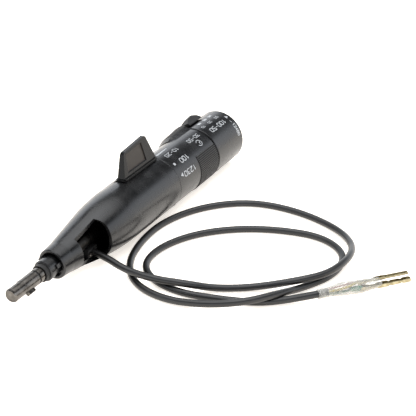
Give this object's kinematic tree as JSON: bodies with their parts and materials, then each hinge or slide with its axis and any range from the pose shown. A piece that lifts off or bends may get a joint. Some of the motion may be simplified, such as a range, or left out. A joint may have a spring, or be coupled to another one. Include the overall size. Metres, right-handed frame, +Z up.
{
  "type": "steering column control lever",
  "caption": "Tapered black column lever with a twist band, washer paddle, slide switch, end button, steel rod end and a coiled cable lead with bare terminals.",
  "frame": {"origin": "bottom centre of the lever's box, on the surface it lies on, without the cable lead", "axes": "+X along the lever from the rod tip to the end cap, +Z up, -Y towards the side where the lead leaves"},
  "size_m": [0.2196, 0.1825, 0.0494],
  "materials": {
    "black_plastic": "satin moulded black",
    "steel": "turned steel",
    "brass": "plain brass",
    "inner_plastic": "dark natural moulding",
    "cord_jacket": "satin black jacket",
    "seal_rubber": "matt black rubber",
    "clear_film": "clear heat-shrunk tube",
    "board": "brown laminate",
    "wire_yellow": "yellow insulation",
    "wire_green": "green insulation",
    "wire_red": "red insulation",
    "wire_white": "white insulation"
  },
  "bodies": {
    "lever": {"housing": "black_plastic", "collar_hub": "black_plastic", "seal_ring": "seal_rubber", "support_tube": "steel", "front_bushing": "inner_plastic", "rear_bushing": "inner_plastic", "tube_clip": "steel", "tube_bulkhead": "inner_plastic", "cable_clamp": "inner_plastic", "clamp_screw": "steel", "inner_cable": "cord_jacket", "carrier": "inner_plastic", "body_screws": "steel", "end_cap": "black_plastic", "cap_screws": "steel", "detent_plate": "steel", "switch_board": "board", "fixed_contacts": "brass", "set_switch": "inner_plastic", "contact_dome": "brass", "set_button_spring": "steel", "washer_switch": "inner_plastic", "washer_contact": "brass", "paddle_spring": "steel", "cord": "cord_jacket", "clear_sleeve": "clear_film", "wire_yellow": "wire_yellow", "wire_green": "wire_green", "wire_red": "wire_red", "wire_white": "wire_white", "terminal_upper": "brass", "terminal_lower": "brass"},
    "wiper_drive": {"wiper_band": "black_plastic", "drive_hub": "inner_plastic", "hub_pin": "steel", "actuator_shaft": "steel", "shaft_tip": "steel", "rod_ring": "seal_rubber", "key_lug": "steel", "detent_ball": "steel", "detent_spring": "steel"},
    "paddle": {"washer_paddle": "black_plastic", "paddle_yoke": "black_plastic"},
    "cruise_slider": {"slide_knob": "black_plastic", "slide_carriage": "inner_plastic", "bridge_contact": "brass"},
    "end_button": {"set_button": "black_plastic", "set_plunger": "black_plastic"}
  },
  "joints": [
    {"name": "wiper_turn", "type": "hinge", "parent": "lever", "child": "wiper_drive", "pos_m": [0.0402, -0.0014, 0.0164], "axis": [1, 0, 0], "range_deg": [-28, 105]},
    {"name": "washer_press", "type": "hinge", "parent": "lever", "child": "paddle", "pos_m": [0.0112, -0.0014, 0.0164], "axis": [-1, 0, 0], "range_deg": [0, 6], "stiffness_Nm_per_rad": 0.8},
    {"name": "cruise_slide", "type": "slide", "parent": "lever", "child": "cruise_slider", "axis": [1, 0, 0], "range_m": [-0.0035, 0.0065]},
    {"name": "set_press", "type": "slide", "parent": "lever", "child": "end_button", "axis": [-1, 0, 0], "range_m": [0, 0.0022], "stiffness_N_per_m": 900, "deforming": ["set_button_spring"]}
  ]
}
